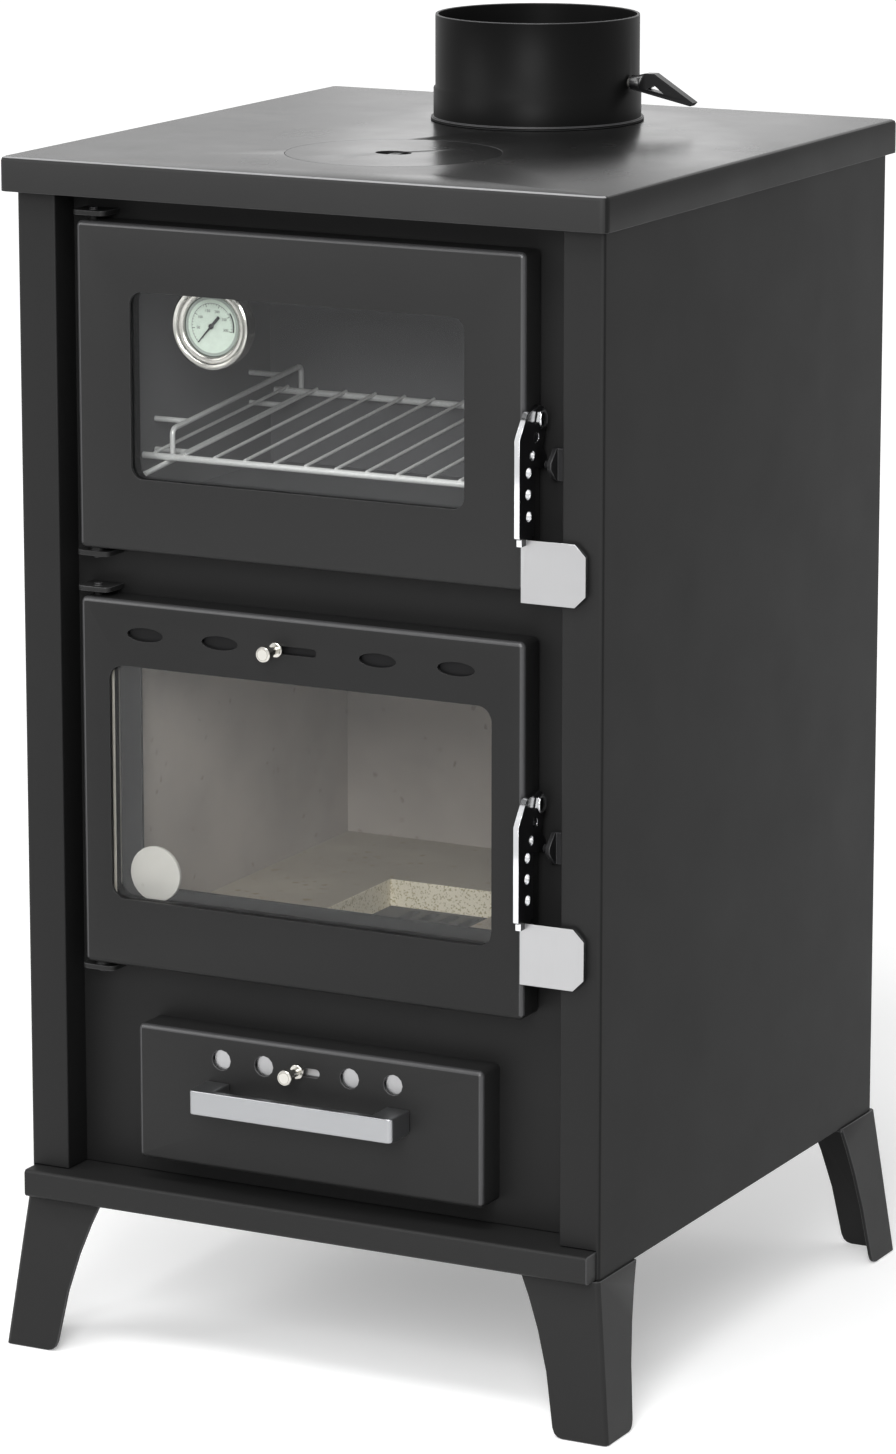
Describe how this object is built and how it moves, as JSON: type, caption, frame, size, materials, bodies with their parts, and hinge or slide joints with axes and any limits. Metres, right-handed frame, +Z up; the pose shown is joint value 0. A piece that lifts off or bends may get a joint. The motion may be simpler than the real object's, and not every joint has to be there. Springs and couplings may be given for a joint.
{
  "type": "wood-burning stove with oven",
  "caption": "Free-standing upright wood stove: glazed oven over a glazed lined firebox and an ash drawer, on splayed legs, with a hob lid and a damped flue collar.",
  "frame": {"origin": "on the floor, at the bottom centre of the bounding box", "axes": "+X to the right of somebody facing the doors, +Y from the doors to the back, +Z up"},
  "size_m": [0.479, 0.5084, 0.9305],
  "materials": {
    "paint": "satin heat-proof paint",
    "inner_paint": "matt heat-proof paint",
    "hob_paint": "satin heat-proof paint with blurred reflections",
    "flue_paint": "satin",
    "chrome": "polished",
    "steel": "brushed",
    "cast_iron": "rough",
    "lining": "matt board",
    "vermiculite": "speckled matt",
    "rope": "woven rope",
    "glass": "clear",
    "dial": "satin",
    "needle": "satin"
  },
  "bodies": {
    "casing": {"base_tray": "paint", "leg_front_left": "paint", "leg_front_right": "paint", "leg_rear_left": "paint", "leg_rear_right": "paint", "side_panel_left": "paint", "side_panel_right": "paint", "back_panel": "paint", "front_plate": "inner_paint", "top_plate": "hob_paint", "flue_collar": "flue_paint", "oven_box": "inner_paint", "rack_runner_left": "chrome", "rack_runner_right": "chrome", "baffle_board": "vermiculite", "firebox_base": "inner_paint", "firebox_shell": "inner_paint", "lining_left": "lining", "lining_right": "lining", "lining_back": "lining", "lining_floor": "vermiculite", "lining_keeper": "vermiculite", "oven_door_keeper": "inner_paint", "fire_door_keeper": "inner_paint", "hinge_oven_top": "paint", "hinge_oven_bottom": "paint", "hinge_fire_top": "paint", "hinge_fire_bottom": "paint", "pan_runner_left": "steel", "pan_runner_right": "steel"},
    "hob_lid": {"hob_lid": "hob_paint"},
    "damper": {"damper_disc": "cast_iron", "damper_lever": "cast_iron"},
    "oven_rack": {"oven_rack": "chrome"},
    "grate": {"grate": "cast_iron"},
    "oven_door": {"oven_door_shell": "paint", "oven_door_glass": "glass", "oven_door_frame": "inner_paint", "oven_door_gasket": "rope", "oven_door_bolt": "steel", "thermometer_case": "chrome", "thermometer_dial": "dial", "thermometer_bracket": "steel"},
    "oven_latch": {"oven_door_handle": "chrome"},
    "needle": {"thermometer_needle": "needle"},
    "fire_door": {"fire_door_shell": "paint", "fire_door_glass": "glass", "fire_door_frame": "inner_paint", "fire_door_gasket": "rope", "fire_door_bolt": "steel"},
    "fire_latch": {"fire_door_handle": "chrome"},
    "air_slide": {"air_shutter": "steel", "air_knob": "chrome"},
    "ash_drawer": {"drawer_front": "paint", "ash_pan": "steel", "drawer_handle": "steel"},
    "vent_slide": {"drawer_shutter": "steel", "drawer_knob": "chrome"}
  },
  "joints": [
    {"name": "oven_door_hinge", "type": "hinge", "parent": "casing", "child": "oven_door", "pos_m": [-0.17, -0.21525, 0.6985], "axis": [0, 0, -1], "range_deg": [0, 110]},
    {"name": "oven_latch_turn", "type": "hinge", "parent": "oven_door", "child": "oven_latch", "pos_m": [0.169, -0.21225, 0.7002], "axis": [-1, 0, 0], "range_deg": [0, 40]},
    {"name": "thermometer_turn", "type": "hinge", "parent": "oven_door", "child": "needle", "pos_m": [-0.0831, -0.206, 0.7428], "axis": [0, 1, 0], "range_deg": [0, 240]},
    {"name": "fire_door_hinge", "type": "hinge", "parent": "casing", "child": "fire_door", "pos_m": [-0.17, -0.21525, 0.4187], "axis": [0, 0, -1], "range_deg": [0, 110]},
    {"name": "fire_latch_turn", "type": "hinge", "parent": "fire_door", "child": "fire_latch", "pos_m": [0.169, -0.21225, 0.437], "axis": [-1, 0, 0], "range_deg": [0, 40]},
    {"name": "air_slide_move", "type": "slide", "parent": "fire_door", "child": "air_slide", "axis": [1, 0, 0], "range_m": [0, 0.028]},
    {"name": "ash_drawer_slide", "type": "slide", "parent": "casing", "child": "ash_drawer", "axis": [0, -1, 0], "range_m": [0, 0.28]},
    {"name": "vent_slide_move", "type": "slide", "parent": "ash_drawer", "child": "vent_slide", "axis": [1, 0, 0], "range_m": [0, 0.014]},
    {"name": "damper_turn", "type": "hinge", "parent": "casing", "child": "damper", "pos_m": [0, 0.12475, 0.8845], "axis": [1, 0, 0], "range_deg": [0, 90]},
    {"name": "hob_lid_lift", "type": "slide", "parent": "casing", "child": "hob_lid", "axis": [0, 0, 1], "range_m": [0, 0.06]},
    {"name": "oven_rack_slide", "type": "slide", "parent": "casing", "child": "oven_rack", "axis": [0, -0.9954, -0.0958], "range_m": [0, 0.03]},
    {"name": "grate_lift", "type": "slide", "parent": "casing", "child": "grate", "axis": [0, 0, 1], "range_m": [0, 0.04]}
  ]
}
